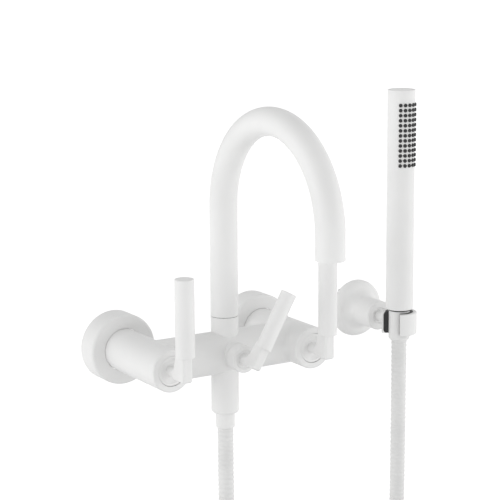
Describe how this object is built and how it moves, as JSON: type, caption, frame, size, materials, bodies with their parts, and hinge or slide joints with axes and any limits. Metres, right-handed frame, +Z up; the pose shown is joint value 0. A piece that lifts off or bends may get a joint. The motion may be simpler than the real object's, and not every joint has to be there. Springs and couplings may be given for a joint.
{
  "type": "wall mounted bath faucet",
  "caption": "Exposed wall mounted bath mixer with lever handles, swivel gooseneck spout, diverter lever, stick hand shower on a wall bracket and a flexible hose.",
  "frame": {"origin": "on the wall plane, midway between the two inlets, at the height of their axes", "axes": "+X to the right seen from the room, +Y into the wall, +Z up; the spout points to -Y"},
  "size_m": [0.339, 0.292, 0.7326],
  "materials": {
    "white_coat": "matte white powder coat",
    "brass": "machined",
    "screw_steel": "stainless",
    "ceramic": "lapped ceramic",
    "rubber_seal": "matte",
    "black_silicone": "soft matte silicone",
    "black_plastic": "matte",
    "inner_plastic": "moulded",
    "white_hose": "matte white spiral hose"
  },
  "bodies": {
    "root": {"mixer_body": "white_coat", "wall_flange_hot": "white_coat", "wall_union_hot": "brass", "union_nut_hot": "brass", "inlet_seal_hot": "rubber_seal", "cartridge_body_hot": "brass", "seat_seal_hot": "rubber_seal", "fixed_disc_hot": "ceramic", "wall_flange_cold": "white_coat", "wall_union_cold": "brass", "union_nut_cold": "brass", "inlet_seal_cold": "rubber_seal", "cartridge_body_cold": "brass", "seat_seal_cold": "rubber_seal", "fixed_disc_cold": "ceramic", "diverter_cartridge": "brass", "swivel_washer": "black_plastic", "spout_grub_screw": "screw_steel", "outlet_nipple": "brass", "check_valve": "inner_plastic", "lower_hose_nut": "white_coat", "hose_washer": "rubber_seal", "shower_hose": "white_hose", "bracket_plate": "screw_steel", "bracket_screws": "screw_steel", "bracket_cover": "white_coat", "cover_grub_screw": "screw_steel"},
    "hot_handle": {"moving_disc_hot": "ceramic", "spindle_hot": "brass", "handle_hub_hot": "white_coat", "handle_screw_hot": "screw_steel", "lever_hot": "white_coat"},
    "cold_handle": {"moving_disc_cold": "ceramic", "spindle_cold": "brass", "handle_hub_cold": "white_coat", "handle_screw_cold": "screw_steel", "lever_cold": "white_coat"},
    "diverter_handle": {"diverter_spindle": "brass", "diverter_knob": "white_coat", "diverter_screw": "screw_steel", "diverter_lever": "white_coat"},
    "spout": {"spout_tube": "white_coat", "spout_spigot": "brass", "spout_o_rings": "rubber_seal", "aerator_housing": "white_coat", "aerator_insert": "inner_plastic"},
    "shower_holder": {"holder_clip": "white_coat", "holder_liner": "black_plastic", "arm_retainer": "screw_steel"},
    "hand_shower": {"shower_tube": "white_coat", "nozzle_mat": "black_silicone", "shower_cap": "white_coat", "water_channel": "inner_plastic", "hose_spigot": "brass", "cone_nut": "white_coat", "cone_washer": "rubber_seal", "joint_ring": "rubber_seal"}
  },
  "joints": [
    {"name": "hot_handle_turn", "type": "hinge", "parent": "root", "child": "hot_handle", "pos_m": [-0.075, -0.11, 0], "axis": [0, -1, 0], "range_deg": [0, 90]},
    {"name": "cold_handle_turn", "type": "hinge", "parent": "root", "child": "cold_handle", "pos_m": [0.075, -0.11, 0], "axis": [0, 1, 0], "range_deg": [0, 90]},
    {"name": "diverter_turn", "type": "hinge", "parent": "root", "child": "diverter_handle", "pos_m": [0, -0.11, 0], "axis": [0, 1, 0], "range_deg": [-60, 0]},
    {"name": "spout_swivel", "type": "hinge", "parent": "root", "child": "spout", "pos_m": [0, -0.0788, 0.034], "axis": [0, 0, 1], "range_deg": [-60, 60]},
    {"name": "holder_turn", "type": "hinge", "parent": "root", "child": "shower_holder", "pos_m": [0.202, -0.035, 0], "axis": [0, 1, 0], "range_deg": [-30, 30], "deforming": ["shower_hose"]},
    {"name": "shower_lift", "type": "slide", "parent": "shower_holder", "child": "hand_shower", "axis": [0, 0, 1], "range_m": [0, 0.036], "deforming": ["shower_hose"]}
  ]
}
